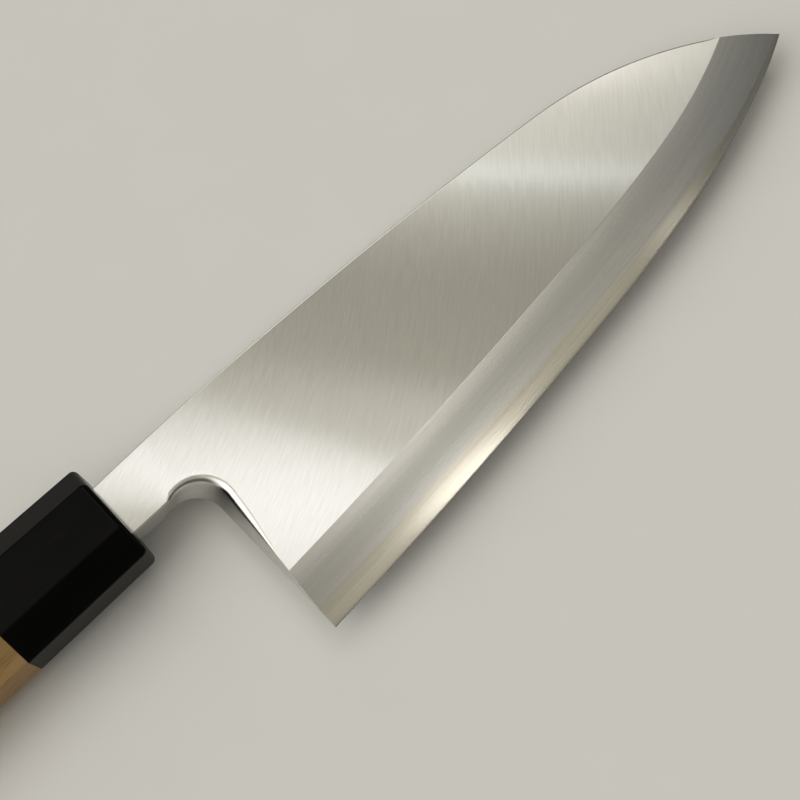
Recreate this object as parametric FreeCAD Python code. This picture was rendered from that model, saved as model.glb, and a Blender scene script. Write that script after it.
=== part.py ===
import FreeCAD, Part
import math
import os

# Deba knife, lying on its left side: +X to the tip, +Y to the spine, +Z up out of the bevelled face.
# Sizes are taken from where the handle axis meets the front face of the ferrule, in millimetres.

# Blade outline
blade_length = 196.1
heel_setback = 18.9
heel_drop = 53.2
tip_drop = 21.8
spine_crest_rise = 7.6
spine_fall = 4.3
neck_drop = 7.3
choil_radius = 8.0
choil_setback = 10.4
choil_lead = 4.2
choil_bite = 0.5
neck_fillet_radius = 8.0
edge_start_degrees = 4.0

# Places on the outline, as shares of the blade's length, or of the run from heel to tip
spine_crest_share = 0.19
spine_turn_share = 0.70
edge_middle_shares = (0.554, 0.309)
edge_belly_shares = (0.80, 0.568)

# Blade thickness, flat and bevel
neck_thickness = 8.2
front_thickness = 3.4
flat_setback = 13.0
flat_slope_degrees = 3.4
bevel_width = 15.5
# How wide the bevel is at the heel, at the two places on the edge above, and at the tip
bevel_width_shares = (1.0, 0.965, 0.89, 0.86)
bevel_bulge = 0.15
edge_land = 0.15
spine_ease = 0.4

# Hard steel layer and the hollow in its back
weld_setback = 10.0
steel_thickness_heel = 2.1
steel_thickness_tip = 0.35
hollow_rim = 2.2
hollow_wheel_radius = 620.0
# Each station of the hollow: its place from heel to tip, and how much of the full width it has
hollow_station_shares = ((0.04, 0.3), (0.11, 0.85), (0.25, 1.0), (0.55, 1.0), (0.8, 1.0), (0.93, 0.9))

# Tang
tang_reach = 92.0
tang_root_height = 9.5
tang_root_thickness = 5.0
tang_end_height = 5.5
tang_end_thickness = 3.0

# Handle
handle_length = 136.0
handle_front_height = 26.4
handle_front_width = 22.1
butt_height = 31.0
side_flat_share = 0.495
top_flat_share = 0.445
butt_chamfer = 1.6

# Ferrule and the tenon that carries it
ferrule_length = 35.4
ferrule_front_wall = 6.0
ferrule_side_wall = 2.9
ferrule_edge_radius = 1.6

# Fits
neck_clearance = 0.15
machi_gap = 1.0
tenon_clearance = 0.05
tenon_end_gap = 0.2
bedding_gap = 0.6
cut_overrun = 4.0

ura = -neck_thickness / 2
neck_seat = ferrule_front_wall - machi_gap
tenon_front = -(ferrule_front_wall + tenon_end_gap)
tenon_radius = handle_front_width / 2 - ferrule_side_wall - tenon_clearance
butt_front = -(handle_length - butt_chamfer)
butt_width = handle_front_width * butt_height / handle_front_height


class Bow:
    """Circular arc in plan that leaves its start along a heading and runs to its end."""

    def __init__(self, start, heading, end):
        run, rise = end[0] - start[0], end[1] - start[1]
        self.start, self.end, self.heading = start, end, heading
        self.chord_heading = math.atan2(rise, run)
        half_turn = self.chord_heading - heading
        bow = math.tan(half_turn / 2) / 2
        self.middle = ((start[0] + end[0]) / 2 + rise * bow, (start[1] + end[1]) / 2 - run * bow)
        self.end_heading = heading + 2 * half_turn
        self.radius = math.hypot(run, rise) / (2 * math.sin(half_turn))
        self.centre = (start[0] - self.radius * math.sin(heading),
                       start[1] + self.radius * math.cos(heading))

    def edge(self, z):
        points = [FreeCAD.Vector(x, y, z) for x, y in (self.start, self.middle, self.end)]
        return Part.Arc(*points).toShape()

    def height(self, x):
        reach = math.sqrt(self.radius ** 2 - (x - self.centre[0]) ** 2)
        return self.centre[1] - math.copysign(reach, self.radius)

    def heading_at(self, x):
        return math.asin((x - self.centre[0]) / self.radius)


def height_along(bows, x):
    """Height of a chain of bows at x."""
    for bow in bows:
        if x <= bow.end[0]:
            return bow.height(x)
    return bows[-1].end[1]


def polygon(points):
    """Closed wire through points."""
    return Part.makePolygon(points + points[:1])


def loft(wires, ruled):
    """Closed solid through a row of closed wires."""
    return Part.makeLoft(wires, True, ruled)


def frustum(front, back):
    """Flat-sided solid between two rings of points whose sides run parallel."""
    faces = [Part.Face(polygon(front)), Part.Face(polygon(back))]
    for i in range(len(front)):
        faces.append(Part.Face(polygon([front[i - 1], front[i], back[i], back[i - 1]])))
    return Part.makeSolid(Part.makeShell(faces))


def spine_bows():
    """Long arch from the neck over the crest, then the drop to the tip."""
    crest_x = spine_crest_share * blade_length
    turn = (spine_turn_share * blade_length, spine_crest_rise - spine_fall)
    radius = ((turn[0] - crest_x) ** 2 + spine_fall ** 2) / (2 * spine_fall)
    back = crest_x + neck_seat
    start = (-neck_seat, spine_crest_rise - radius + math.sqrt(radius ** 2 - back ** 2))
    arch = Bow(start, math.asin(back / radius), turn)
    drop = Bow(turn, arch.end_heading, (blade_length, -tip_drop))
    return [arch, drop]


def edge_bows():
    """Cutting edge from heel to tip: nearly straight, then rounding up through the belly."""
    run, rise = blade_length - heel_setback, heel_drop - tip_drop
    places = [(0, 0), edge_middle_shares, edge_belly_shares, (1, 1)]
    points = [(heel_setback + along * run, up * rise - heel_drop) for along, up in places]
    heading = math.radians(edge_start_degrees)
    bows = []
    for start, end in zip(points, points[1:]):
        bows.append(Bow(start, heading, end))
        heading = bows[-1].end_heading
    return bows


spine = spine_bows()
edge = edge_bows()


def flat_height(x, y):
    """Height of the bevelled side's flat above the back: thinner from spine to edge, and to the tip
    from where the neck ends."""
    taper = (neck_thickness - front_thickness) / (blade_length - flat_setback)
    slope = math.tan(math.radians(flat_slope_degrees))
    return neck_thickness - taper * max(x - flat_setback, 0) - slope * (spine_crest_rise - y)


def arc_points(centre, radius, first, last, z):
    """Start, middle and end of an arc between two bearings."""
    points = []
    for bearing in (first, (first + last) / 2, last):
        x, y = centre[0] + radius * math.cos(bearing), centre[1] + radius * math.sin(bearing)
        points.append(FreeCAD.Vector(x, y, z))
    return points


def blank_outline(height):
    """Blade outline at a height above the back. The choil lies further forward the higher it is."""
    z = ura + height
    lead = choil_lead * height / neck_thickness
    centre = (choil_setback + lead, choil_bite - neck_drop - choil_radius)
    reach = math.hypot(heel_setback - centre[0], -heel_drop - centre[1])
    bearing = math.atan2(-heel_drop - centre[1], heel_setback - centre[0])
    touch = bearing + math.acos(choil_radius / reach)
    meet = math.pi - math.asin(1 - choil_bite / (choil_radius + neck_fillet_radius))
    choil = arc_points(centre, choil_radius, meet, touch, z)
    apart = (choil_radius + neck_fillet_radius) * math.cos(meet)
    fillet = arc_points((centre[0] + apart, neck_fillet_radius - neck_drop), neck_fillet_radius,
                        -math.pi / 2, meet - math.pi, z)
    heel = FreeCAD.Vector(heel_setback, -heel_drop, z)
    neck_low = FreeCAD.Vector(-neck_seat, -neck_drop, z)
    neck_high = FreeCAD.Vector(spine[0].start[0], spine[0].start[1], z)
    edges = [bow.edge(z) for bow in spine]
    edges += [bow.edge(z) for bow in reversed(edge)]
    edges.append(Part.makeLine(heel, choil[2]))
    edges.append(Part.Arc(*choil).toShape())
    edges.append(Part.Arc(*fillet).toShape())
    edges.append(Part.makeLine(fillet[0], neck_low))
    edges.append(Part.makeLine(neck_low, neck_high))
    return Part.Wire(Part.__sortEdges__(edges))


def flat_cutters():
    """What is ground away above the neck and above the flat."""
    low, high = -heel_drop - cut_overrun, spine_crest_rise + cut_overrun
    top = ura + neck_thickness + 2 * cut_overrun

    def ring(x):
        lower = [FreeCAD.Vector(x, y, ura + flat_height(x, y)) for y in (low, high)]
        return lower + [FreeCAD.Vector(x, high, top), FreeCAD.Vector(x, low, top)]

    places = (-neck_seat - cut_overrun, flat_setback, blade_length + cut_overrun)
    return [frustum(ring(first), ring(last)) for first, last in zip(places, places[1:])]


def ease_section(place, heading):
    """Closed section, square to the spine, of what is eased off its upper corner."""
    inward = (math.sin(heading), -math.cos(heading))
    corner = flat_height(*place)
    offsets = [(-cut_overrun, -spine_ease - cut_overrun), (spine_ease + cut_overrun, cut_overrun)]
    offsets.append((-cut_overrun, cut_overrun))
    points = []
    for along, up in offsets:
        x, y = place[0] + inward[0] * along, place[1] + inward[1] * along
        points.append(FreeCAD.Vector(x, y, ura + corner + up))
    return polygon(points)


def ease_cutter():
    """Runs along the spine from the neck to the tip."""
    arch, drop = spine
    split = Bow((flat_setback, arch.height(flat_setback)), arch.heading_at(flat_setback), arch.end)
    stations = [(arch.start, arch.heading)]
    for bow in (split, drop):
        stations += [(bow.start, bow.heading), (bow.middle, bow.chord_heading)]
    stations.append((drop.end, drop.end_heading))
    return loft([ease_section(*station) for station in stations], False)


def edge_stations():
    """Places along the edge with their headings and bevel widths, run on past the heel and the tip."""
    stations = []
    widths = [bevel_width * share for share in bevel_width_shares]
    for bow, first, last in zip(edge, widths, widths[1:]):
        stations.append((bow.start, bow.heading, first))
        stations.append((bow.middle, bow.chord_heading, (first + last) / 2))
    stations.append((edge[-1].end, edge[-1].end_heading, widths[-1]))
    return [run_on(stations[0], -cut_overrun)] + stations + [run_on(stations[-1], cut_overrun)]


def run_on(station, step):
    """Station moved straight along the edge's heading."""
    (x, y), heading, width = station
    return (x + step * math.cos(heading), y + step * math.sin(heading)), heading, width


def bevel_section(place, heading, width):
    """Closed section, square to the edge, of what the bevel takes away: a slightly convex face from
    the edge up to the ridge line, run on straight at both ends."""
    inward = (-math.sin(heading), math.cos(heading))
    ridge = flat_height(place[0] + inward[0] * width, place[1] + inward[1] * width)
    rise = ridge - edge_land
    angle = math.atan2(rise, width)
    swing = 2 * math.atan2(2 * bevel_bulge, math.hypot(width, rise))
    low = edge_land - cut_overrun * math.tan(angle + swing)
    high = ridge + width * math.tan(angle - swing)
    top = neck_thickness + 2 * cut_overrun
    outer = max(top, high + cut_overrun)

    def at(along, height):
        return FreeCAD.Vector(place[0] + inward[0] * along, place[1] + inward[1] * along, ura + height)

    middle = at(width / 2 - bevel_bulge * math.sin(angle),
                edge_land + rise / 2 + bevel_bulge * math.cos(angle))
    face = Part.Arc(at(0, edge_land), middle, at(width, ridge)).toShape()
    corners = [at(width, ridge), at(2 * width, high), at(2 * width, outer), at(-cut_overrun, outer)]
    corners += [at(-cut_overrun, low), at(0, edge_land)]
    lines = [Part.makeLine(a, b) for a, b in zip(corners, corners[1:])]
    return Part.Wire([face] + lines)


def bevel_cutter():
    return loft([bevel_section(*station) for station in edge_stations()], False)


def steel_wedge():
    """Space of the hard layer: thinner to the tip, and ended by the weld line in the neck."""
    low, high = -heel_drop - cut_overrun, spine_crest_rise + cut_overrun
    rate = (steel_thickness_tip - steel_thickness_heel) / (blade_length - heel_setback)
    ends = (weld_setback, blade_length + cut_overrun)
    tops = [(x, steel_thickness_heel + rate * (x - heel_setback)) for x in ends]
    corners = [FreeCAD.Vector(x, low, ura + height) for x, height in tops]
    corners += [FreeCAD.Vector(x, low, ura - cut_overrun) for x, height in reversed(tops)]
    return Part.Face(polygon(corners)).extrude(FreeCAD.Vector(0, high - low, 0))


def hollow_cutter():
    """Shallow hollow in the back, as a large wheel grinds it, with a flat rim left all round."""
    wires = []
    for along, fill in hollow_station_shares:
        x = heel_setback + along * (blade_length - heel_setback)
        low, high = height_along(edge, x) + hollow_rim, height_along(spine, x) - hollow_rim
        middle, reach = (low + high) / 2, fill * (high - low) / 2
        depth = hollow_wheel_radius - math.sqrt(hollow_wheel_radius ** 2 - reach ** 2)
        sides = [FreeCAD.Vector(x, middle + side * reach, ura) for side in (-1, 1)]
        deep = [side - FreeCAD.Vector(0, 0, cut_overrun) for side in sides]
        arc = Part.Arc(sides[0], FreeCAD.Vector(x, middle, ura + depth), sides[1]).toShape()
        lines = [(sides[1], deep[1]), (deep[1], deep[0]), (deep[0], sides[0])]
        wires.append(Part.Wire([arc] + [Part.makeLine(a, b) for a, b in lines]))
    return loft(wires, False)


def tang_section(x, growth):
    """Rectangle of the tang at x, grown on every side."""
    share = (-x - neck_seat) / (tang_reach - neck_seat)
    tall = tang_root_height + (tang_end_height - tang_root_height) * share + 2 * growth
    thick = tang_root_thickness + (tang_end_thickness - tang_root_thickness) * share + 2 * growth
    corners = ((-1, -1), (1, -1), (1, 1), (-1, 1))
    return [FreeCAD.Vector(x, up * tall / 2, out * thick / 2) for up, out in corners]


def blade_pieces():
    """Cladding with its neck and tang, and the hard steel layer."""
    blank = loft([blank_outline(height) for height in (0, neck_thickness + cut_overrun)], True)
    blade = blank.cut(flat_cutters() + [bevel_cutter(), ease_cutter()])
    wedge = steel_wedge()
    steel = blade.common(wedge).cut(hollow_cutter())
    tang = frustum(tang_section(-neck_seat, 0), tang_section(-tang_reach, 0))
    cladding = blade.cut(wedge).fuse(tang).removeSplitter()
    return cladding, steel


def handle_section(x, inset):
    """Eight-sided section of the handle at x, which widens to the butt, drawn in by an inset."""
    share = x / butt_front
    tall = (handle_front_height + (butt_height - handle_front_height) * share) / 2 - inset
    wide = tall * handle_front_width / handle_front_height
    side, top = tall * side_flat_share, wide * top_flat_share
    corners = [(tall, -top), (tall, top), (side, wide), (-side, wide)]
    corners += [(-y, -z) for y, z in corners]
    return [FreeCAD.Vector(x, y, z) for y, z in corners]


def ferrule_piece():
    """Horn collar: eight sides, eased front, a slot for the neck and a round bore for the tenon."""
    body = frustum(handle_section(0, 0), handle_section(-ferrule_length, 0))
    front = [line for line in body.Edges if abs(line.BoundBox.XMin) < ferrule_edge_radius
             and line.BoundBox.XLength < ferrule_edge_radius]
    body = body.makeFillet(ferrule_edge_radius, front)
    low, high = -neck_drop - neck_clearance, spine[0].height(0) + neck_clearance
    thick = neck_thickness + 2 * neck_clearance
    corner = FreeCAD.Vector(-ferrule_front_wall - cut_overrun, low, -thick / 2)
    slot = Part.makeBox(ferrule_front_wall + 2 * cut_overrun, high - low, thick, corner)
    bore = Part.makeCylinder(tenon_radius + tenon_clearance, ferrule_length,
                             FreeCAD.Vector(-ferrule_front_wall, 0, 0), FreeCAD.Vector(-1, 0, 0))
    return body.cut(slot).cut(bore)


def tang_hole():
    """Tapered hole burnt into the handle for the tang, with room for its bedding."""
    end = -tang_reach - bedding_gap
    return frustum(tang_section(tenon_front, bedding_gap), tang_section(end, bedding_gap))


def grip_piece():
    """Wooden handle: eight tapered sides, chamfered butt, round tenon and the tang hole."""
    body = frustum(handle_section(-ferrule_length, 0), handle_section(butt_front, 0))
    body = body.fuse(frustum(handle_section(butt_front, 0), handle_section(-handle_length, butt_chamfer)))
    tenon = Part.makeCylinder(tenon_radius, ferrule_length + tenon_front + cut_overrun,
                              FreeCAD.Vector(tenon_front, 0, 0), FreeCAD.Vector(-1, 0, 0))
    return body.fuse(tenon).cut(tang_hole()).removeSplitter()


def build():
    cladding, steel = blade_pieces()
    bedding = tang_hole().cut(cladding)
    pieces = {"blade_cladding": cladding, "edge_steel": steel, "ferrule": ferrule_piece(),
              "handle_grip": grip_piece(), "tang_bedding": bedding}
    top = max(butt_height / 2, spine_crest_rise)
    base = FreeCAD.Vector((handle_length - blade_length) / 2, (heel_drop - top) / 2, butt_width / 2)
    os.makedirs("parts", exist_ok=True)
    for name, shape in pieces.items():
        shape.translate(base)
        shape.exportStep("parts/" + name + ".step")
        box = shape.BoundBox
        print(name, "solids", len(shape.Solids), "valid", shape.isValid(), "volume", round(shape.Volume, 1),
              "box", [round(v, 2) for v in (box.XMin, box.YMin, box.ZMin, box.XMax, box.YMax, box.ZMax)])


build()
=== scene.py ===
import math

import bmesh
import bpy
from mathutils import Matrix, Vector

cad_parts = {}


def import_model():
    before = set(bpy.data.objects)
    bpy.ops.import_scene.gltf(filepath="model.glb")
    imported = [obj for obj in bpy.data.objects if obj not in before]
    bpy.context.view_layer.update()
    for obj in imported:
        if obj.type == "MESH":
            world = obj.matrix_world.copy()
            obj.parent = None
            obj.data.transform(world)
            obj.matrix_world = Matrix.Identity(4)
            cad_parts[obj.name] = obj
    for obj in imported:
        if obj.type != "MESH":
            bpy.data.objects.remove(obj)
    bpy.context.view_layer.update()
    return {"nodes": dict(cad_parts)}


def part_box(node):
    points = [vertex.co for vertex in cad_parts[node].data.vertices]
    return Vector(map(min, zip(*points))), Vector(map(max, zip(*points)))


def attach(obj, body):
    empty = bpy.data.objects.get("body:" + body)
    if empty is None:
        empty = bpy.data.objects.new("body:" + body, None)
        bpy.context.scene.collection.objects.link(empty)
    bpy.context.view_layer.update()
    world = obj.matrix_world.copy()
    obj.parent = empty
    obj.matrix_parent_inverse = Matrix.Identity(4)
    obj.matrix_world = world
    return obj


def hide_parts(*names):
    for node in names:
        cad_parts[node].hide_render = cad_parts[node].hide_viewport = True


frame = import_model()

# Deba knife, lying on its left side: +X to the tip, +Y to the spine, +Z up out of the bevelled face.
# Shapes are worked out in millimetres from where the handle axis meets the front face of the ferrule.
MM = 0.001

ferrule_low, ferrule_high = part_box("ferrule")
steel_low, steel_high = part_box("edge_steel")
grip_low, grip_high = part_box("handle_grip")
axis_y = (ferrule_low.y + ferrule_high.y) / 2
axis_z = (ferrule_low.z + ferrule_high.z) / 2
origin = Vector((ferrule_high.x, axis_y, axis_z))

# Blade outline
blade_length = (steel_high.x - origin.x) / MM
heel_drop = (origin.y - steel_low.y) / MM
back_height = (steel_low.z - origin.z) / MM
heel_setback = 18.9
tip_drop = 21.8
spine_crest_rise = 7.6
spine_fall = 4.3
neck_drop = 7.3
neck_seat = 5.0
choil_radius = 8.0
choil_setback = 10.4
choil_lead = 4.2
choil_bite = 0.5
neck_fillet_radius = 8.0
edge_start_degrees = 4.0
spine_crest_share = 0.19
spine_turn_share = 0.70
edge_middle_shares = (0.554, 0.309)
edge_belly_shares = (0.80, 0.568)

# Blade thickness, flat and bevel
neck_thickness = -2 * back_height
front_thickness = 3.4
flat_setback = 13.0
flat_blend = 4.0
flat_slope_degrees = 3.4
neck_fall = 0.12
neck_fall_run = 18.0
bevel_width = 15.5
bevel_width_shares = (1.0, 0.965, 0.89, 0.86)
bevel_bulge = 0.15
edge_land = 0.15
honed_width = 0.25
honed_land = 0.11

# Softened edges
spine_ease = 0.4
neck_ease = 0.35
choil_ease = 1.4
ridge_ease = 0.08
ease_run = 3.0
choil_ease_run = 18.0

# Hard layer, hollow of the back, tang
steel_thickness_heel = 2.1
steel_thickness_tip = 0.35
hollow_rim = 2.2
hollow_wheel_radius = 620.0
hollow_start = 24.0
hollow_end = 190.0
hollow_start_run = 26.0
hollow_end_run = 20.0
tang_reach = 92.0
tang_root = (9.5, 5.0)
tang_end = (5.5, 3.0)

# Handle and ferrule
handle_length = (origin.x - grip_low.x) / MM
butt_height = (grip_high.y - grip_low.y) / MM
ferrule_length = (ferrule_high.x - ferrule_low.x) / MM
handle_front_height = 26.4
handle_front_width = 22.1
side_flat_share = 0.495
top_flat_share = 0.445
butt_chamfer = 1.6
ferrule_edge_radius = 1.6
ferrule_front_wall = 6.0
ferrule_side_wall = 2.9
neck_clearance = 0.15
tenon_clearance = 0.05
tenon_front = -6.2
bedding_gap = 0.6
ridge_soften = 0.45
seam_ease = 0.12

# How finely the surfaces are divided, and where the columns fan out over the choil
edge_columns = 150
rim_columns = (("neck", 10), ("fillet", 6), ("choil", 22), ("heel", 18))
bevel_body_rows = 10
bevel_steel_rows = 6
flat_rows = 10
wall_rows = 5
ease_rows = 6
corner_points = 6
grip_rings = 12
crisp_columns = 4
weld_columns = 1
fan_end = 32.0
heel_way_share = 0.3
sharp_degrees = 35
normal_weight = 80
merge_digits = 4
solve_steps = 40
settle_steps = 12
least_slope = 1e-6

# Right and up in the picture, and the wide arcs that the scratches of the flat follow
grain_right = Vector((0.728, -0.685, 0))
grain_up = Vector((0.685, 0.728, 0))
grain_radius = 250.0
grain_middle = Vector((128, -9, 0))
UV_UNIT = 100.0


def lerp(a, b, share):
    return a + (b - a) * share


def smooth(share):
    """Eased step from 0 to 1."""
    share = min(max(share, 0), 1)
    return share * share * (3 - 2 * share)


def solve(test, low, high):
    """Where a falling test changes from positive to negative."""
    for _ in range(solve_steps):
        middle = (low + high) / 2
        if test(middle) > 0:
            low = middle
        else:
            high = middle
    return (low + high) / 2


class Bow:
    """Circular arc in plan that leaves its start along a heading and runs to its end."""

    def __init__(self, start, heading, end):
        run, rise = end[0] - start[0], end[1] - start[1]
        half_turn = math.atan2(rise, run) - heading
        self.end = end
        self.heading = heading
        self.turn = 2 * half_turn
        self.radius = math.hypot(run, rise) / (2 * math.sin(half_turn))
        self.length = self.radius * self.turn
        self.centre = (start[0] - self.radius * math.sin(heading),
                       start[1] + self.radius * math.cos(heading))

    def at(self, share):
        """Place and heading at a share of the way along."""
        heading = self.heading + self.turn * share
        x = self.centre[0] + self.radius * math.sin(heading)
        y = self.centre[1] - self.radius * math.cos(heading)
        return x, y, heading

    def height(self, x):
        reach = math.sqrt(self.radius ** 2 - (x - self.centre[0]) ** 2)
        return self.centre[1] - math.copysign(reach, self.radius)

    def heading_at(self, x):
        return math.asin((x - self.centre[0]) / self.radius)


def spine_bows():
    """Long arch from the neck over the crest, then the drop to the tip."""
    crest_x = spine_crest_share * blade_length
    turn = (spine_turn_share * blade_length, spine_crest_rise - spine_fall)
    radius = ((turn[0] - crest_x) ** 2 + spine_fall ** 2) / (2 * spine_fall)
    back = crest_x + neck_seat
    start = (-neck_seat, spine_crest_rise - radius + math.sqrt(radius ** 2 - back ** 2))
    arch = Bow(start, math.asin(back / radius), turn)
    drop = Bow(turn, arch.heading + arch.turn, (blade_length, -tip_drop))
    return [arch, drop]


def edge_bows():
    """Cutting edge from heel to tip: nearly straight, then rounding up through the belly."""
    run, rise = blade_length - heel_setback, heel_drop - tip_drop
    places = [(0, 0), edge_middle_shares, edge_belly_shares, (1, 1)]
    points = [(heel_setback + along * run, up * rise - heel_drop) for along, up in places]
    heading = math.radians(edge_start_degrees)
    bows = []
    for start, end in zip(points, points[1:]):
        bows.append(Bow(start, heading, end))
        heading += bows[-1].turn
    return bows


spine = spine_bows()
edge = edge_bows()


def spine_bow(x):
    return spine[0] if x <= spine[0].end[0] else spine[1]


def spine_height(x):
    return spine_bow(x).height(min(x, blade_length))


def flat_height(x, y):
    """Height of the flat above the back."""
    taper = (neck_thickness - front_thickness) / (blade_length - flat_setback)
    slope = math.tan(math.radians(flat_slope_degrees))
    past = x - flat_setback
    if abs(past) < flat_blend:
        past = (past + flat_blend) ** 2 / (4 * flat_blend)
    fall = neck_fall * (1 - smooth((x + neck_seat) / neck_fall_run))
    down = spine_crest_rise - y
    return neck_thickness - taper * max(past, 0) - slope * down - fall * (down / (2 * neck_drop)) ** 2


def weld_height(x):
    """Thickness of the hard layer."""
    rate = (steel_thickness_tip - steel_thickness_heel) / (blade_length - heel_setback)
    return steel_thickness_heel + rate * (x - heel_setback)


def edge_at(way):
    """Place, heading and bevel width along the edge; each bow is one unit of way."""
    index = min(int(way), len(edge) - 1)
    x, y, heading = edge[index].at(way - index)
    share = lerp(bevel_width_shares[index], bevel_width_shares[index + 1], way - index)
    return x, y, heading, bevel_width * share


def edge_run(way):
    """Length along the edge from the heel."""
    index = min(int(way), len(edge) - 1)
    return sum(bow.length for bow in edge[:index]) + edge[index].length * (way - index)


def bevel_point(way, drop):
    """Point of the bevel, whose drop goes from 0 at the ridge to 1 at the edge."""
    x, y, heading, width = edge_at(way)
    inward = (-math.sin(heading), math.cos(heading))
    ridge = flat_height(x + inward[0] * width, y + inward[1] * width)
    along = 1 - drop
    height = lerp(edge_land, ridge, along) + 4 * bevel_bulge * along * drop
    return Vector((x + inward[0] * width * along, y + inward[1] * width * along, height))


def weld_drop(way):
    """Where on the bevel the hard layer comes out."""
    def above(drop):
        point = bevel_point(way, drop)
        return point.z - weld_height(point.x)
    return solve(above, 0, 1)


def bevel_level(way, level):
    """Point of the bevel at a level: 0 at the ridge, 1 at the weld line, 2 where the honed edge starts,
    3 at the edge itself."""
    if level >= 3:
        point = bevel_point(way, 1)
        point.z = honed_land
        return point
    weld = weld_drop(way)
    honed = 1 - honed_width / edge_at(way)[3]
    drop = weld * level if level <= 1 else lerp(weld, honed, level - 1)
    return bevel_point(way, drop)


def rim_point(part, share, height):
    """Point of the outline under the neck, round the choil and down the heel, at a height over the back.
    The choil lies further forward the higher it is."""
    lead = choil_lead * height / neck_thickness
    centre = (choil_setback + lead, choil_bite - neck_drop - choil_radius)
    reach = math.hypot(heel_setback - centre[0], -heel_drop - centre[1])
    bearing = math.atan2(-heel_drop - centre[1], heel_setback - centre[0])
    touch = bearing + math.acos(choil_radius / reach)
    meet = math.pi - math.asin(1 - choil_bite / (choil_radius + neck_fillet_radius))
    fillet_x = centre[0] + (choil_radius + neck_fillet_radius) * math.cos(meet)
    if part == "neck":
        return Vector((lerp(-neck_seat, fillet_x, share), -neck_drop, height))
    if part == "fillet":
        turn = lerp(-math.pi / 2, meet - math.pi, share)
        return Vector((fillet_x + neck_fillet_radius * math.cos(turn),
                       neck_fillet_radius - neck_drop + neck_fillet_radius * math.sin(turn), height))
    if part == "choil":
        turn = lerp(meet, touch, share)
        return Vector((centre[0] + choil_radius * math.cos(turn),
                       centre[1] + choil_radius * math.sin(turn), height))
    start = Vector((centre[0] + choil_radius * math.cos(touch),
                    centre[1] + choil_radius * math.sin(touch), height))
    return start.lerp(Vector((heel_setback, -heel_drop, height)), share)


def heel_share(y, height):
    """How far down the heel line a place is."""
    top = rim_point("heel", 0, height).y
    return (y - top) / (-heel_drop - top)


def row_start(level):
    """Where a bevel row leaves the heel."""
    def before(way):
        point = bevel_level(way, level)
        return rim_point("heel", heel_share(point.y, point.z), point.z).x - point.x
    return solve(before, 0, heel_way_share)


def row_end(level):
    """Where a bevel row runs out at the spine."""
    def below(way):
        point = bevel_level(way, level)
        return spine_height(point.x) - point.y
    return solve(below, len(edge) - 1, len(edge))


def bevel_row(level):
    """Points and grain places along one bevel row, from the heel to the spine."""
    first, last = row_start(level), row_end(level)
    row = []
    for column in range(edge_columns + 1):
        way = lerp(first, last, column / edge_columns)
        point = bevel_level(way, level)
        x, y = edge_at(way)[:2]
        row.append((point, (math.hypot(point.x - x, point.y - y) / UV_UNIT, edge_run(way) / UV_UNIT)))
    return row


def flat_grain(point):
    """Grain place on the flat: across and along the scratches."""
    centre = grain_middle - grain_radius * grain_right
    arm = Vector((point.x, point.y, 0)) - centre
    swing = math.atan2(arm.dot(grain_up), arm.dot(grain_right))
    return (arm.length - grain_radius) / UV_UNIT, grain_radius * swing / UV_UNIT


def with_grain(points):
    return [(point, flat_grain(point)) for point in points]


class Skin:
    """Mesh made from grids of points. Points that coincide are shared."""

    def __init__(self):
        self.mesh = bmesh.new()
        self.grain = self.mesh.loops.layers.uv.new("grain")
        self.known = {}

    def vertex(self, point):
        key = tuple(round(value, merge_digits) for value in point)
        if key not in self.known:
            place = origin + Vector((point.x, point.y, point.z)) * MM
            self.known[key] = self.mesh.verts.new(place)
        return self.known[key]

    def face(self, corners, material):
        """Face through (point, grain place) corners; corners that coincide count once."""
        vertices, places = [], []
        for point, place in corners:
            vertex = self.vertex(point)
            if vertex not in vertices:
                vertices.append(vertex)
                places.append(place)
        if len(vertices) < 3 or self.mesh.faces.get(vertices):
            return
        face = self.mesh.faces.new(vertices)
        face.material_index = material
        face.smooth = True
        for loop, place in zip(face.loops, places):
            loop[self.grain].uv = place

    def grid(self, rows, material, closed=False):
        """Faces between rows of (point, grain place)."""
        for row, other in zip(rows, rows[1:]):
            count = len(row)
            for column in range(count if closed else count - 1):
                beside = (column + 1) % count
                self.face((row[column], row[beside], other[beside], other[column]), material)

    def open_edges(self):
        return [line for line in self.mesh.edges if line.is_boundary]

    def crease(self, points):
        """Keeps the line through points crisp."""
        vertices = [self.vertex(point) for point in points]
        for first, second in zip(vertices, vertices[1:]):
            line = self.mesh.edges.get((first, second)) if first is not second else None
            if line:
                line.smooth = False

    def finish(self, name, materials):
        bmesh.ops.recalc_face_normals(self.mesh, faces=self.mesh.faces)
        for line in self.mesh.edges:
            if line.is_manifold and line.calc_face_angle() > math.radians(sharp_degrees):
                line.smooth = False
        data = bpy.data.meshes.new(name)
        self.mesh.to_mesh(data)
        self.mesh.free()
        for material in materials:
            data.materials.append(material)
        piece = bpy.data.objects.new(name, data)
        bpy.context.scene.collection.objects.link(piece)
        normals = piece.modifiers.new("even_normals", "WEIGHTED_NORMAL")
        normals.mode = "FACE_AREA"
        normals.weight = normal_weight
        normals.keep_sharp = True
        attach(piece, "root")
        return piece


def raised(point):
    """Height over the back turned into height over the handle axis."""
    return Vector((point.x, point.y, point.z + back_height))


def eased(inner, corner, outer):
    """Rounded corner from an inner to an outer point."""
    points = []
    for step in range(ease_rows + 1):
        share = step / ease_rows
        points.append(inner.lerp(corner, share).lerp(corner.lerp(outer, share), share))
    return points


def columns_of_rim():
    """Columns (part, share) under the neck, round the choil and down the heel to the ridge line."""
    columns = []
    for part, count in rim_columns:
        for step in range(count):
            columns.append((part, step / count))
    return columns


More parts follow.
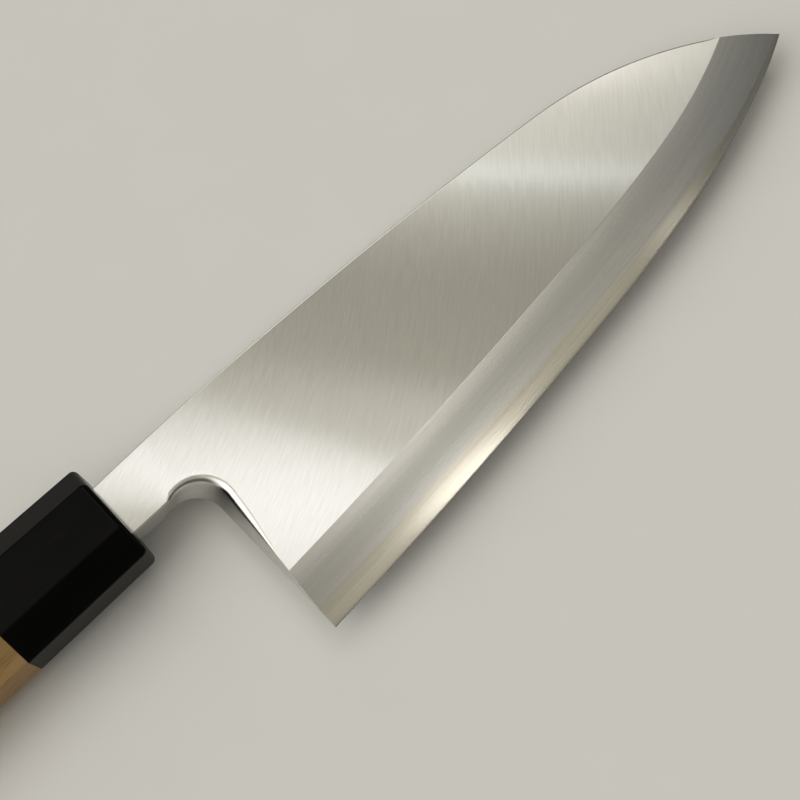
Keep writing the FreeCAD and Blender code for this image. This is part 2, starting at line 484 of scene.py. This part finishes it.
def blade_skins():
    """Body of the blade with its neck and tang, and the hard layer with the edge."""
    ridge_row = [point for point, place in bevel_row(0)]
    ridge_start, ridge_end = ridge_row[0], ridge_row[-1]
    ridge_first, ridge_last = row_start(0), row_end(0)

    def rim_at(column, height):
        part, share = column
        if part == "heel":
            share *= heel_share(ridge_start.y, height)
        return rim_point(part, share, height)

    columns = columns_of_rim()
    rim_top = []
    for column in columns:
        height = neck_thickness
        for _ in range(settle_steps):
            point = rim_at(column, height)
            height = flat_height(point.x, point.y)
        rim_top.append(rim_at(column, height))

    # Lower border of the flat: inner, corner and outer points of the softened edge
    path = rim_top + ridge_row
    lower = []
    for index, corner in enumerate(path):
        before, after = path[max(index - 1, 0)], path[min(index + 1, len(path) - 1)]
        along = Vector((after.x - before.x, after.y - before.y, 0)).normalized()
        inward = Vector((-along.y, along.x, 0))
        if index < len(columns):
            part, share = columns[index]
            run = (corner - ridge_start).length
            ease = neck_ease if part == "neck" else choil_ease
            if part == "fillet":
                ease = lerp(neck_ease, choil_ease, share)
            ease *= smooth(run / choil_ease_run)
            outer = rim_at(columns[index], corner.z - ease)
        else:
            way = lerp(ridge_first, ridge_last, (index - len(columns)) / edge_columns)
            run = min((corner - ridge_start).length, (corner - ridge_end).length)
            ease = ridge_ease * smooth(run / ease_run)
            outer = bevel_point(way, ease / edge_at(way)[3])
        inner = corner + inward * ease
        inner.z = flat_height(inner.x, inner.y)
        lower.append((inner, corner, outer))

    # Upper border: the spine, with the same number of columns
    turn = sum(count for part, count in rim_columns[:2])
    fan_start = rim_top[turn].x
    spine_x = [point.x for point in rim_top[:turn]]
    fan = len(columns) - turn
    spine_x += [lerp(fan_start, fan_end, step / fan) for step in range(fan)]
    spine_x += [lerp(fan_end, ridge_end.x, step / edge_columns) for step in range(edge_columns + 1)]
    upper = []
    for x in spine_x:
        y = spine_height(x)
        heading = spine_bow(x).heading_at(x)
        corner = Vector((x, y, flat_height(x, y)))
        ease = spine_ease * smooth((ridge_end.x - x) / ease_run)
        inner = corner + Vector((math.sin(heading), -math.cos(heading), 0)) * ease
        inner.z = flat_height(inner.x, inner.y)
        upper.append((inner, corner, corner - Vector((0, 0, ease))))

    body, hard = Skin(), Skin()
    FLAT, BEVEL, WALL = 0, 1, 2
    EDGE, BACK, SIDE = 0, 1, 2

    # Flat
    rows = []
    for step in range(flat_rows + 1):
        row = []
        for (low, _, _), (high, _, _) in zip(lower, upper):
            point = low.lerp(high, step / flat_rows)
            point.z = flat_height(point.x, point.y)
            row.append(raised(point))
        rows.append(with_grain(row))
    body.grid(rows, FLAT)
    rim_end = len(columns) + 1
    for border, material in ((lower[:rim_end], WALL), (lower[rim_end - 1:], FLAT), (upper, FLAT)):
        strips = [eased(*corner) for corner in border]
        rows = [with_grain([raised(strip[step]) for strip in strips]) for step in range(ease_rows + 1)]
        body.grid(rows, material)

    # Bevel of the body, down to the weld line
    levels = [step / bevel_body_rows for step in range(bevel_body_rows + 1)]
    body_rows = [bevel_row(level) for level in levels]
    soft_row = [(outer, place) for (_, _, outer), (_, place) in zip(lower[len(columns):], body_rows[0])]
    shown = [soft_row] + body_rows[1:]
    body.grid([[(raised(point), place) for point, place in row] for row in shown], BEVEL)

    # Bevel of the hard layer and the honed edge
    levels = [1 + step / bevel_steel_rows for step in range(bevel_steel_rows + 1)] + [3]
    hard_rows = [bevel_row(level) for level in levels]
    hard.grid([[(raised(point), place) for point, place in row] for row in hard_rows], EDGE)

    # Walls from the top borders down to the weld. The hard layer feathers out over one column at its rear.
    lap = turn + weld_columns

    def column_weld(index, x):
        return weld_height(x) if index > lap else 0

    def wall(skin, tops, bottoms, material):
        run = 0
        strips = []
        for index, (top, bottom) in enumerate(zip(tops, bottoms)):
            if index:
                run += (top - tops[index - 1]).length
            strip = []
            for step in range(wall_rows + 1):
                point = top.lerp(bottom, step / wall_rows)
                strip.append((raised(point), (point.z / UV_UNIT, run / UV_UNIT)))
            strips.append(strip)
        skin.grid([list(row) for row in zip(*strips)], material)

    def foot(point, height):
        return Vector((point.x, point.y, height))

    def heel_foot(point, height):
        return rim_point("heel", heel_share(point.y, height), height)

    rim_weld, rim_foot = [], []
    for index, column in enumerate(columns):
        rim_weld.append(rim_at(column, column_weld(index, lower[index][1].x)))
        rim_foot.append(rim_at(column, 0))
    heel_tops = [row[0][0] for row in body_rows]
    heel_welds = [heel_foot(point, weld_height(point.x)) for point in heel_tops[:-1]] + heel_tops[-1:]
    heel_feet = [heel_foot(point, 0) for point in heel_tops]
    tip_tops = [row[-1][0] for row in body_rows]
    tip_welds = [foot(point, weld_height(point.x)) for point in tip_tops[:-1]] + tip_tops[-1:]
    spine_outer = [outer for _, _, outer in upper]
    spine_weld = [foot(outer, column_weld(index, outer.x)) for index, outer in enumerate(spine_outer)]
    hard_heel = [row[0][0] for row in hard_rows]
    hard_tip = [row[-1][0] for row in hard_rows]

    wall(body, [outer for _, _, outer in lower[:len(columns)]] + heel_tops, rim_weld + heel_welds, WALL)
    wall(body, spine_outer + tip_tops[1:], spine_weld + tip_welds[1:], WALL)
    lower_top = rim_weld[lap:] + heel_welds + hard_heel[1:]
    lower_foot = rim_foot[lap:] + heel_feet + [heel_foot(point, 0) for point in hard_heel[1:]]
    upper_top = spine_weld[lap:] + tip_welds[1:] + hard_tip[1:]
    upper_foot = [foot(point, 0) for point in upper_top]
    wall(hard, lower_top, lower_foot, SIDE)
    wall(hard, upper_top, upper_foot, SIDE)

    def shares_across(low, high):
        """Shares of the way over the back: its flat rim, the hollow and the other rim."""
        span = (high - low).length
        rim = min(hollow_rim / span, 1 / 2) if span else 0
        shares = [lerp(rim, 1 - rim, step / (2 * flat_rows)) for step in range(2 * flat_rows + 1)]
        return [0, rim / 2] + shares + [1 - rim / 2, 1]

    # Weld face, shared by both, and the neck's part of the back
    weld_low = rim_weld + heel_welds + [point for point, place in body_rows[-1]][1:]
    weld_high = spine_weld + tip_welds[1:]
    for skin, first, material in ((body, 0, WALL), (hard, lap, SIDE)):
        strips = []
        for low, high in zip(weld_low[first:], weld_high[first:]):
            points = [raised(low.lerp(high, share)) for share in shares_across(low, high)]
            strips.append(with_grain(points))
        skin.grid([list(row) for row in zip(*strips)], material)

    # Back of the hard layer: a flat rim round a shallow hollow
    edge_foot = [foot(point, 0) for point, place in hard_rows[-1]]
    rows = []
    for step in range(wall_rows + 1):
        share = step / wall_rows
        rows.append([(raised(point.lerp(foot(point, 0), share)), place) for point, place in hard_rows[-1]])
    hard.grid(rows, EDGE)
    back_low = lower_foot + edge_foot[1:]
    strips = []
    for low, high in zip(back_low, upper_foot):
        span = (high - low).length
        reach = max(span / 2 - hollow_rim, 0)
        strip = []
        for share in shares_across(low, high):
            point = low.lerp(high, share)
            fill = smooth((point.x - hollow_start) / hollow_start_run)
            fill *= smooth((hollow_end - point.x) / hollow_end_run)
            off = min(abs(share - 1 / 2) * span, reach)
            point.z = fill * (reach ** 2 - off ** 2) / (2 * hollow_wheel_radius)
            strip.append(raised(point))
        strips.append(with_grain(strip))
    hard.grid([list(row) for row in zip(*strips)], BACK)

    # Lines that stay crisp: the weld line, the top of the flat, and both ends of the ridge
    for skin in (body, hard):
        skin.crease([raised(point) for point, place in body_rows[-1]])
        skin.crease([raised(point) for point in heel_welds])
    body.crease([raised(inner) for inner, _, _ in upper])
    corner = len(columns)
    for part in (lower[corner - crisp_columns:corner + crisp_columns], lower[-crisp_columns:]):
        body.crease([raised(inner) for inner, _, outer in part])
        body.crease([raised(outer) for inner, _, outer in part])

    # Tang behind the neck
    rings = []
    for x, (tall, thick) in ((-neck_seat, tang_root), (-tang_reach, tang_end)):
        corners = ((-1, -1), (1, -1), (1, 1), (-1, 1))
        rings.append(with_grain([Vector((x, up * tall / 2, out * thick / 2)) for up, out in corners]))
    neck_loop = body.open_edges()
    body.grid(rings, WALL, closed=True)
    body.face(rings[-1], WALL)
    tang_loop = [line for line in body.open_edges() if line not in neck_loop]
    bmesh.ops.bridge_loops(body.mesh, edges=neck_loop + tang_loop)
    return body, hard


def octagon(x, inset, soften):
    """Eight-sided ring of the handle at x, drawn in by an inset, with softened corners."""
    share = -x / (handle_length - butt_chamfer)
    tall = lerp(handle_front_height, butt_height, share) / 2 - inset
    wide = tall * handle_front_width / handle_front_height
    side, top = tall * side_flat_share, wide * top_flat_share
    corners = [(tall, -top), (tall, top), (side, wide), (-side, wide)]
    corners = [Vector((x, y, z)) for y, z in corners + [(-y, -z) for y, z in corners]]
    ring = []
    for index, corner in enumerate(corners):
        before, after = corners[index - 1], corners[(index + 1) % len(corners)]
        first = corner + (before - corner).normalized() * soften
        last = corner + (after - corner).normalized() * soften
        for step in range(corner_points + 1):
            turn = step / corner_points
            ring.append(first.lerp(corner, turn).lerp(corner.lerp(last, turn), turn))
    return ring


def bearings(ring):
    """Directions from the axis to the points of a ring."""
    return [Vector((0, point.y, point.z)).normalized() for point in ring]


def round_ring(like, x, radius):
    """Circle with a point under each point of another ring."""
    return [Vector((x, radius * point.y, radius * point.z)) for point in bearings(like)]


def box_ring(like, x, low, high, thick):
    """Rectangle with a point under each point of another ring, and points at its corners."""
    middle = (low + high) / 2
    ring = []
    for out in bearings(like):
        tall_reach = (high - low) / 2 / max(abs(out.y), least_slope)
        reach = min(tall_reach, thick / 2 / max(abs(out.z), least_slope))
        ring.append(Vector((x, middle + out.y * reach, out.z * reach)))
    for up in (low, high):
        for side in (-thick / 2, thick / 2):
            corner = Vector((x, up, side))
            nearest = min(range(len(ring)), key=lambda index: (ring[index] - corner).length)
            ring[nearest] = corner
    return ring


def tang_ring(like, x):
    """Rectangle of the hole for the tang."""
    share = (-x - neck_seat) / (tang_reach - neck_seat)
    tall = lerp(tang_root[0], tang_end[0], share) + 2 * bedding_gap
    thick = lerp(tang_root[1], tang_end[1], share) + 2 * bedding_gap
    return box_ring(like, x, -tall / 2, tall / 2, thick)


def ring_grain(ring):
    """Grain place on a ring: round the section and along the handle."""
    rows, run = [], 0
    for index, point in enumerate(ring):
        if index:
            run += (point - ring[index - 1]).length
        rows.append((point, (run / UV_UNIT, point.x / UV_UNIT)))
    return rows


def ferrule_skin():
    """Horn collar: eight sides, rounded front, slot for the neck and round bore for the tenon."""
    bore = handle_front_width / 2 - ferrule_side_wall
    model = octagon(-ferrule_length, 0, ridge_soften)
    rings = [round_ring(model, -ferrule_length, bore), octagon(-ferrule_length, seam_ease, ridge_soften),
             octagon(-ferrule_length + seam_ease, 0, ridge_soften)]
    for step in range(1, grip_rings):
        x = lerp(-ferrule_length, -ferrule_edge_radius, step / grip_rings)
        rings.append(octagon(x, 0, ridge_soften))
    for step in range(2 * ease_rows + 1):
        turn = math.pi / 2 * step / (2 * ease_rows)
        x = -ferrule_edge_radius * (1 - math.sin(turn))
        rings.append(octagon(x, ferrule_edge_radius * (1 - math.cos(turn)), ridge_soften))
    low, high = -neck_drop - neck_clearance, spine_height(0) + neck_clearance
    thick = neck_thickness + 2 * neck_clearance
    rings.append(box_ring(model, 0, low - seam_ease, high + seam_ease, thick + 2 * seam_ease))
    rings.append(box_ring(model, -seam_ease, low, high, thick))
    rings.append(box_ring(model, -ferrule_front_wall, low, high, thick))
    rings.append(round_ring(model, -ferrule_front_wall, bore))
    rings.append(rings[0])
    skin = Skin()
    skin.grid([ring_grain(ring) for ring in rings], 0, closed=True)
    return skin


def grip_skin():
    """Wooden handle: eight tapered sides, chamfered butt, round tenon and the hole for the tang."""
    tenon = handle_front_width / 2 - ferrule_side_wall - tenon_clearance
    model = octagon(-ferrule_length, 0, ridge_soften)
    butt_front = -(handle_length - butt_chamfer)
    hole_end = -tang_reach - bedding_gap
    rings = [tang_ring(model, hole_end), tang_ring(model, tenon_front), round_ring(model, tenon_front, tenon),
             round_ring(model, -ferrule_length, tenon), octagon(-ferrule_length, seam_ease, ridge_soften),
             octagon(-ferrule_length - seam_ease, 0, ridge_soften)]
    for step in range(1, grip_rings + 1):
        rings.append(octagon(lerp(-ferrule_length, butt_front, step / grip_rings), 0, ridge_soften))
    for step in range(1, ease_rows + 1):
        turn = math.pi / 2 * step / ease_rows
        x = butt_front - butt_chamfer * math.sin(turn)
        ring = octagon(butt_front, butt_chamfer * (1 - math.cos(turn)), ridge_soften)
        rings.append([Vector((x, point.y, point.z)) for point in ring])
    skin = Skin()
    skin.grid([ring_grain(ring) for ring in rings], 0, closed=True)
    skin.face(ring_grain(rings[0]), 0)
    skin.face(ring_grain(rings[-1]), 0)
    return skin


# Part of the noise's range that colours and finish spread over
noise_low = 0.3
noise_high = 0.7


class Nodes:
    """Helpers on one node tree."""

    def __init__(self, tree):
        self.tree = tree

    def node(self, kind, **settings):
        node = self.tree.nodes.new("ShaderNode" + kind)
        for name, value in settings.items():
            setattr(node, name, value)
        return node

    def link(self, output, target):
        self.tree.links.new(output, target)

    def feed(self, socket, value):
        """Links a socket to an output, or sets it to a colour, a vector or a number."""
        if isinstance(value, bpy.types.NodeSocket):
            self.link(value, socket)
        elif socket.type == "RGBA":
            socket.default_value = (*value, 1)
        else:
            socket.default_value = value

    def spread(self, value, low, high, start=noise_low, end=noise_high, blend="LINEAR"):
        """Value stretched between two levels."""
        node = self.node("MapRange", interpolation_type=blend)
        for socket, level in (("From Min", start), ("From Max", end), ("To Min", low), ("To Max", high)):
            node.inputs[socket].default_value = level
        self.link(value, node.inputs["Value"])
        return node.outputs["Result"]

    def mix(self, share, first, second, blend="MIX"):
        node = self.node("Mix", data_type="RGBA", blend_type=blend)
        sockets = [socket for socket in node.inputs if socket.enabled]
        for socket, value in zip(sockets, (share, first, second)):
            self.feed(socket, value)
        return [socket for socket in node.outputs if socket.enabled][0]

    def vector(self, operation, *values):
        node = self.node("VectorMath", operation=operation)
        for socket, value in zip(node.inputs, values):
            self.feed(socket, value)
        return node.outputs["Value" if operation in ("DOT_PRODUCT", "LENGTH") else "Vector"]


class Surface(Nodes):
    """Procedural material on one principled shader."""

    def __init__(self, name, **constants):
        self.material = bpy.data.materials.new(name)
        self.material.use_nodes = True
        super().__init__(self.material.node_tree)
        self.shader = self.tree.nodes["Principled BSDF"]
        for socket, value in constants.items():
            self.shader.inputs[socket.replace("_", " ")].default_value = value

    def finish(self, **sockets):
        """Links outputs to the shader's sockets."""
        for socket, output in sockets.items():
            self.link(output, self.shader.inputs[socket.replace("_", " ")])
        return self.material

    def stretched_noise(self, source, scale, detail):
        """Noise on grain or object places, stretched by a scale for each axis."""
        mapping = self.node("Mapping")
        mapping.inputs["Scale"].default_value = scale
        self.link(source, mapping.inputs["Vector"])
        noise = self.node("TexNoise")
        noise.inputs["Scale"].default_value = 1
        noise.inputs["Detail"].default_value = detail
        self.link(mapping.outputs["Vector"], noise.inputs["Vector"])
        return noise.outputs["Fac"]

    def ramp(self, value, stops, blend="LINEAR"):
        node = self.node("ValToRGB")
        node.color_ramp.interpolation = blend
        elements = node.color_ramp.elements
        for place, colour in stops[2:]:
            elements.new(place)
        for element, (place, colour) in zip(elements, sorted(stops)):
            element.position = place
            element.color = (*colour, 1)
        self.link(value, node.inputs["Fac"])
        return node.outputs["Color"]

    def graded(self, source, axis, length, stops, blend="LINEAR"):
        """Grey levels along one axis of the grain places, over a length."""
        split = self.node("SeparateXYZ")
        self.link(source, split.inputs["Vector"])
        share = self.spread(split.outputs[axis], 0, 1, 0, length / UV_UNIT)
        return self.ramp(share, [(place, (level, level, level)) for place, level in stops], blend)

    def bump(self, height, strength, distance):
        node = self.node("Bump")
        node.inputs["Strength"].default_value = strength
        node.inputs["Distance"].default_value = distance * MM
        self.link(height, node.inputs["Height"])
        return node.outputs["Normal"]

    def grain_places(self):
        return self.node("UVMap", uv_map="grain").outputs["UV"]

    def object_places(self):
        return self.node("TexCoord").outputs["Object"]

    def brushed_along(self):
        tangent = self.node("Tangent", direction_type="UV_MAP", uv_map="grain")
        self.link(tangent.outputs["Tangent"], self.shader.inputs["Tangent"])


# Scratches and bands of ground steel: share of the bands, and the levels of the darkest and lightest tone
band_share = 0.35
tone_low = 0.35
tone_high = 0.65

# Dulling of the ground faces, a hazy finish that on the bevel also carries painted reflection: shares of the
# bevel from the edge to the ridge, with levels; lightest at the ridge, darkest a third of the way down from
# it
bevel_haze_and_painted_bands = ((0.3, 0.93), (0.5, 0.81), (0.65, 0.76), (0.82, 0.87), (0.95, 1.0))
steel_haze = ((0.16, 1.0), (0.3, 0.82))
# Painted shade along the edge, in shares of its length from heel to tip, with levels: darker towards the tip
painted_tip_shade = ((0.6, 1.0), (0.9, 0.8))


def brushed_steel(name, dark, light, roughness, anisotropy, scratch_scale, band_scale, haze_and_painted_bands=(), painted_shade_along=()):
    """Ground steel with long fine scratches and soft wider bands between them. Haze dulls and roughens it
    across the scratches and on the bevel also holds painted reflection bands, and painted shade darkens it
    along them towards the tip, as places and levels."""
    surface = Surface(name, Metallic=1, Anisotropic=anisotropy)
    places = surface.grain_places()
    fine = surface.stretched_noise(places, scratch_scale, detail=1)
    bands = surface.stretched_noise(places, band_scale, detail=2)
    tone = surface.mix(band_share, fine, bands)
    colour = surface.ramp(tone, [(tone_low, dark), (tone_high, light)])
    rough = surface.spread(bands, *roughness)
    if haze_and_painted_bands:
        # Levels across the scratches: a duller, rougher finish, and on the bevel painted reflection bands in
        # the colour
        levels = surface.graded(places, "X", bevel_width, haze_and_painted_bands, "B_SPLINE")
        colour = surface.mix(1, colour, levels, "MULTIPLY")
        duller = surface.node("Math", operation="DIVIDE")
        surface.link(rough, duller.inputs[0])
        surface.link(levels, duller.inputs[1])
        rough = duller.outputs["Value"]
    if painted_shade_along:
        # Painted shade: the colour darkens towards the tip
        levels = surface.graded(places, "Y", edge_run(len(edge)), painted_shade_along)
        colour = surface.mix(1, colour, levels, "MULTIPLY")
    surface.brushed_along()
    return surface.finish(Base_Color=colour, Roughness=rough)


def polished_steel(name, dark, light, roughness):
    """Polished steel with a faint uneven tone."""
    surface = Surface(name, Metallic=1)
    places = surface.object_places()
    cloud = surface.stretched_noise(places, scale=(300, 300, 300), detail=3)
    fine = surface.stretched_noise(places, scale=(2500, 2500, 2500), detail=2)
    colour = surface.ramp(cloud, [(noise_low, dark), (noise_high, light)])
    rough = surface.spread(fine, *roughness)
    relief = surface.bump(cloud, strength=0.05, distance=0.05)
    return surface.finish(Base_Color=colour, Roughness=rough, Normal=relief)


def horn():
    """Black polished horn with faint brown fibres along the collar."""
    surface = Surface("black_horn", Specular_IOR_Level=0.06)
    places = surface.object_places()
    fibres = surface.stretched_noise(places, scale=(60, 900, 900), detail=4)
    cloud = surface.stretched_noise(places, scale=(90, 140, 140), detail=2)
    tone = surface.mix(1 / 2, fibres, cloud)
    stops = [(0.4, (0.002, 0.002, 0.002)), (0.62, (0.003, 0.0029, 0.0026)), (0.75, (0.006, 0.005, 0.004))]
    colour = surface.ramp(tone, stops)
    rough = surface.spread(fibres, low=0.2, high=0.28)
    relief = surface.bump(fibres, strength=0.06, distance=0.03)
    return surface.finish(Base_Color=colour, Roughness=rough, Normal=relief)


def wood():
    """Pale close-grained wood with long straight fibres and small dark pores."""
    surface = Surface("pale_wood_grain", Specular_IOR_Level=0.35)
    places = surface.object_places()
    rings = surface.stretched_noise(places, scale=(9, 260, 260), detail=4)
    fibres = surface.stretched_noise(places, scale=(40, 2200, 2200), detail=3)
    pores = surface.stretched_noise(places, scale=(160, 3800, 3800), detail=1)
    ring_stops = [(0.3, (0.3, 0.175, 0.068)), (0.5, (0.35, 0.21, 0.085)), (0.7, (0.4, 0.25, 0.105))]
    fibre_stops = [(0.3, (0.86, 0.84, 0.8)), (0.65, (1, 1, 1))]
    pore_stops = [(0.3, (0.62, 0.55, 0.46)), (0.38, (1, 1, 1))]
    colour = surface.ramp(rings, ring_stops)
    for value, stops in ((fibres, fibre_stops), (pores, pore_stops)):
        colour = surface.mix(1, colour, surface.ramp(value, stops), "MULTIPLY")
    rough = surface.spread(fibres, low=0.5, high=0.62)
    relief = surface.bump(pores, strength=0.15, distance=0.05)
    return surface.finish(Base_Color=colour, Roughness=rough, Normal=relief)


def resin():
    """Amber bedding resin with a cloudy body."""
    surface = Surface("amber_resin", Specular_IOR_Level=0.5)
    cloud = surface.stretched_noise(surface.object_places(), scale=(150, 300, 300), detail=3)
    stops = [(noise_low, (0.16, 0.075, 0.022)), (noise_high, (0.26, 0.13, 0.045))]
    colour = surface.ramp(cloud, stops)
    rough = surface.spread(cloud, low=0.3, high=0.45)
    relief = surface.bump(cloud, strength=0.2, distance=0.2)
    return surface.finish(Base_Color=colour, Roughness=rough, Normal=relief)


def make_knife():
    body, hard = blade_skins()
    flat = brushed_steel("brushed_flat", dark=(0.61, 0.6, 0.57), light=(0.65, 0.64, 0.61),
                         roughness=(0.137, 0.143), anisotropy=1.0,
                         scratch_scale=(230, 15, 1), band_scale=(60, 5, 1))
    bevel = brushed_steel("ground_bevel", dark=(0.55, 0.54, 0.517), light=(0.59, 0.58, 0.552),
                          roughness=(0.224, 0.232), anisotropy=0.82,
                          scratch_scale=(190, 2.5, 1), band_scale=(60, 0.8, 1),
                          haze_and_painted_bands=bevel_haze_and_painted_bands, painted_shade_along=painted_tip_shade)
    edge_steel = brushed_steel("honed_hard_steel", dark=(0.57, 0.54, 0.47), light=(0.63, 0.6, 0.525),
                               roughness=(0.19, 0.2), anisotropy=0.82,
                               scratch_scale=(190, 2.5, 1), band_scale=(60, 0.8, 1),
                               haze_and_painted_bands=steel_haze, painted_shade_along=painted_tip_shade)
    back = brushed_steel("ground_back", dark=(0.55, 0.54, 0.52), light=(0.65, 0.64, 0.61),
                         roughness=(0.18, 0.25), anisotropy=0.9,
                         scratch_scale=(190, 4, 1), band_scale=(40, 0.8, 1))
    walls = polished_steel("polished_wall", dark=(0.55, 0.54, 0.51), light=(0.64, 0.63, 0.6),
                           roughness=(0.18, 0.22))
    piece = body.finish("blade_body", [flat, bevel, walls])
    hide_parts("blade_cladding")
    piece = hard.finish("cutting_layer", [edge_steel, back, walls])
    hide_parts("edge_steel")
    piece = ferrule_skin().finish("horn_collar", [horn()])
    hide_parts("ferrule")
    piece = grip_skin().finish("wooden_grip", [wood()])
    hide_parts("handle_grip")
    bedding = frame["nodes"]["tang_bedding"]
    bedding.data.materials.clear()
    bedding.data.materials.append(resin())


# Camera, from where the handle axis meets the ferrule
camera_place = (11.17, -119.22, 347.11)
camera_right = Vector((0.7264, -0.68351, -0.07177))
camera_up = Vector((0.67121, 0.6831, 0.28783))
camera_lens = 71.235
camera_sensor = 36.0


def make_camera():
    data = bpy.data.cameras.new("view")
    data.lens = camera_lens
    data.sensor_width = camera_sensor
    camera = bpy.data.objects.new("view", data)
    right = camera_right.normalized()
    back = right.cross(camera_up).normalized()
    turn = Matrix((right, back.cross(right), back)).transposed()
    camera.matrix_world = Matrix.Translation(origin + Vector(camera_place) * MM) @ turn.to_4x4()
    bpy.context.scene.collection.objects.link(camera)
    bpy.context.scene.camera = camera


# Studio: each lamp has a direction as seen from the knife (right and up in the picture), an angular
# size, a brightness and a colour
lamp_distance = 6.0
lamp_step = 0.05
lamps = (
    ("strip", "RECTANGLE", (-0.071, 0.388), (0.86, 0.007), 1.22, (0.9, 0.99, 1.07)),
    ("panel", "RECTANGLE", (-0.207, 0.5275), (0.81, 0.252), 1.5, (1.0, 0.98, 0.91)),
    ("key", "ELLIPSE", (-0.055, 0.168), (0.333, 0.098), 1.07, (0.98, 0.985, 1.08)),
    ("key_rim", "ELLIPSE", (-0.055, 0.168), (0.81, 0.175), 0.35, (0.99, 0.99, 0.98)),
    ("edge_spot", "ELLIPSE", (0.441, -0.152), (0.1, 0.1), 5.8, (1.0, 0.985, 0.95)),
    ("ridge_spot", "ELLIPSE", (0.319, 0.026), (0.08, 0.08), 2.2, (1.0, 0.97, 0.88)),
    ("tip_spot", "ELLIPSE", (0.467, 0.152), (0.065, 0.065), 2.3, (1.0, 1.0, 0.92)),
)
world_base = (0.16, 0.156, 0.142)
# Soft lights of the sky: direction, reach to each side, share of the reach that is even, colour
glows = (
    ((-0.03, -0.1), (0.65, 0.65), 0.54, (0.38, 0.36, 0.295)),
    ((-0.6, -0.25), (0.55, 0.7), 0.3, (2.0, 1.97, 1.88)),
    ((0.303, 0.12), (0.1, 0.1), 0.1, (0.8, 0.77, 0.7)),
    ((0.398, -0.247), (0.1, 0.1), 0.1, (0.5, 0.48, 0.44)),
    ((0.69, 0.17), (0.1, 0.12), 0.1, (0.42, 0.52, 0.8)),
    ((0.058, 0.451), (0.377, 0.147), 0.3, (0.79, 0.78, 0.72)),
)
floor_colour = (0.8, 0.79, 0.77)
floor_shade = 0.98
floor_size = 40.0


def make_lamp(distance, name, shape, aim, size, radiance, colour):
    right, up = aim
    out = grain_right.normalized() * right + grain_up.normalized() * up
    out.z = math.sqrt(1 - right ** 2 - up ** 2)
    data = bpy.data.lights.new(name, "AREA")
    data.shape = shape
    data.size = size[0] * distance
    data.size_y = size[1] * distance
    fill = math.pi / 4 if shape == "ELLIPSE" else 1
    data.energy = math.pi * radiance * data.size * data.size_y * fill
    data.color = colour
    lamp = bpy.data.objects.new(name, data)
    across = grain_right - out * grain_right.dot(out)
    across.normalize()
    turn = Matrix((across, out.cross(across), out)).transposed()
    lamp.matrix_world = Matrix.Translation(origin + out * distance) @ turn.to_4x4()
    lamp.visible_camera = False
    bpy.context.scene.collection.objects.link(lamp)


def make_world():
    """Even sky with soft round lights in it."""
    world = bpy.data.worlds.new("studio")
    world.use_nodes = True
    nodes = Nodes(world.node_tree)
    places = nodes.node("TexCoord").outputs["Generated"]
    seen = nodes.node("CombineXYZ")
    for socket, direction in (("X", grain_right), ("Y", grain_up)):
        nodes.link(nodes.vector("DOT_PRODUCT", places, direction.normalized()), seen.inputs[socket])
    colour = world_base
    for aim, reach, even, light in glows:
        off = nodes.vector("SUBTRACT", seen.outputs["Vector"], (*aim, 0))
        away = nodes.vector("LENGTH", nodes.vector("DIVIDE", off, (*reach, 1)))
        fall = nodes.spread(away, 1, 0, even, 1, "SMOOTHSTEP")
        colour = nodes.mix(fall, colour, light, "ADD")
    nodes.link(colour, nodes.tree.nodes["Background"].inputs["Color"])
    bpy.context.scene.world = world


def make_floor():
    data = bpy.data.meshes.new("floor")
    half = floor_size / 2
    corners = [(-half, -half, 0), (half, -half, 0), (half, half, 0), (-half, half, 0)]
    data.from_pydata(corners, [], [(0, 1, 2, 3)])
    floor = bpy.data.objects.new("floor", data)
    surface = Surface("pale_paper", Specular_IOR_Level=0.2, Roughness=0.8)
    cloud = surface.stretched_noise(surface.object_places(), scale=(40, 40, 40), detail=3)
    darker = tuple(floor_shade * value for value in floor_colour)
    colour = surface.ramp(cloud, [(noise_low, darker), (noise_high, floor_colour)])
    data.materials.append(surface.finish(Base_Color=colour))
    bpy.context.scene.collection.objects.link(floor)


make_knife()
make_camera()
make_world()
make_floor()
for step, lamp in enumerate(lamps):
    make_lamp(lamp_distance + lamp_step * step, *lamp)
bpy.context.scene.view_settings.view_transform = "Standard"
